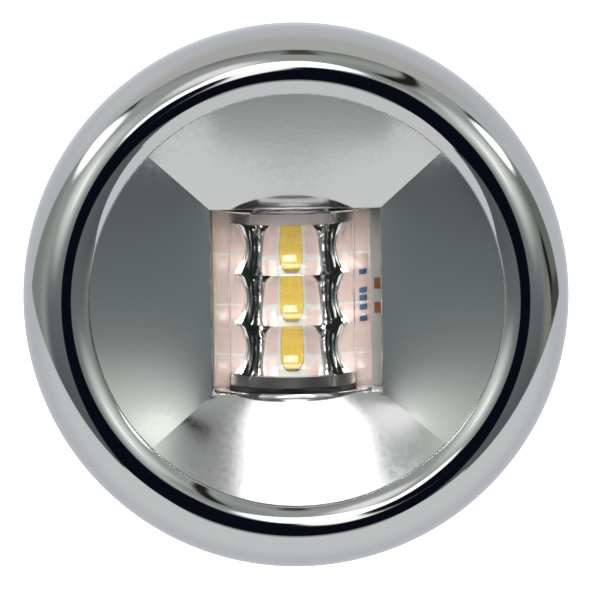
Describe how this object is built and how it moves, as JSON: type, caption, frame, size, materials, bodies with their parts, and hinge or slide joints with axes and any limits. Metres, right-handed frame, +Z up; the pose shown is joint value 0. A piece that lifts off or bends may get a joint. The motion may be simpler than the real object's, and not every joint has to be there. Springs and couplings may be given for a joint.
{
  "type": "navigation light",
  "caption": "Round flush-mounted stern light for a boat: polished pull-off trim ring, faceted mirror dish, clear lens over diodes, sealed rear body.",
  "frame": {"origin": "centre of the mounting face, the rear face of the gasket that lies on the hull", "axes": "+Z up, the light faces -Y, +Y runs into the hull along the barrel, +X to the viewer's right"},
  "size_m": [0.0762, 0.0358, 0.0762],
  "materials": {
    "polished_steel": "mirror polished stainless steel",
    "seal_rubber": "black closed-cell rubber",
    "grommet_rubber": "matt black rubber",
    "black_abs": "fine moulded texture",
    "metallised_abs": "vacuum metallised plastic, slightly soft mirror",
    "clear_polycarbonate": "clear polished polycarbonate",
    "screw_steel": "plain stainless",
    "white_board": "white solder mask",
    "bare_copper": "flat copper with a thin protective film",
    "led_case": "white moulded case",
    "phosphor": "yellow phosphor under silicone",
    "ceramic_chip": "brown ceramic",
    "blue_chip": "dark blue film",
    "thermal_silicone": "soft grey pad",
    "raw_aluminium": "die cast, as made",
    "standoff_brass": "turned",
    "green_board": "green solder mask",
    "tinned_pin": "bright tin",
    "chip_black": "moulded epoxy",
    "capacitor_can": "drawn can",
    "ferrite": "sintered ferrite"
  },
  "bodies": {
    "light": {"mounting_gasket": "seal_rubber", "housing": "black_abs", "reflector": "metallised_abs", "reflector_screws": "screw_steel", "lens": "clear_polycarbonate", "lens_gasket": "seal_rubber", "led_board": "white_board", "copper_pads": "bare_copper", "led_packages": "led_case", "led_phosphors": "phosphor", "led_board_capacitors": "ceramic_chip", "led_board_resistors": "blue_chip", "thermal_pad": "thermal_silicone", "heat_sink": "raw_aluminium", "led_board_screws": "screw_steel", "board_standoffs": "standoff_brass", "driver_board": "green_board", "driver_board_screws": "screw_steel", "board_pins": "tinned_pin", "capacitor_bases": "chip_black", "capacitors": "capacitor_can", "inductor": "ferrite", "regulator": "chip_black", "regulator_leads": "tinned_pin", "diode": "chip_black", "resistors": "chip_black", "supply_terminals": "tinned_pin", "rear_cover": "black_abs", "cover_seal": "seal_rubber", "cover_screws": "screw_steel", "cable_grommet": "grommet_rubber"},
    "ring": {"trim_ring": "polished_steel"}
  },
  "joints": [
    {"name": "ring_pull_off", "type": "slide", "parent": "light", "child": "ring", "axis": [0, -1, 0], "range_m": [0, 0.03]}
  ]
}
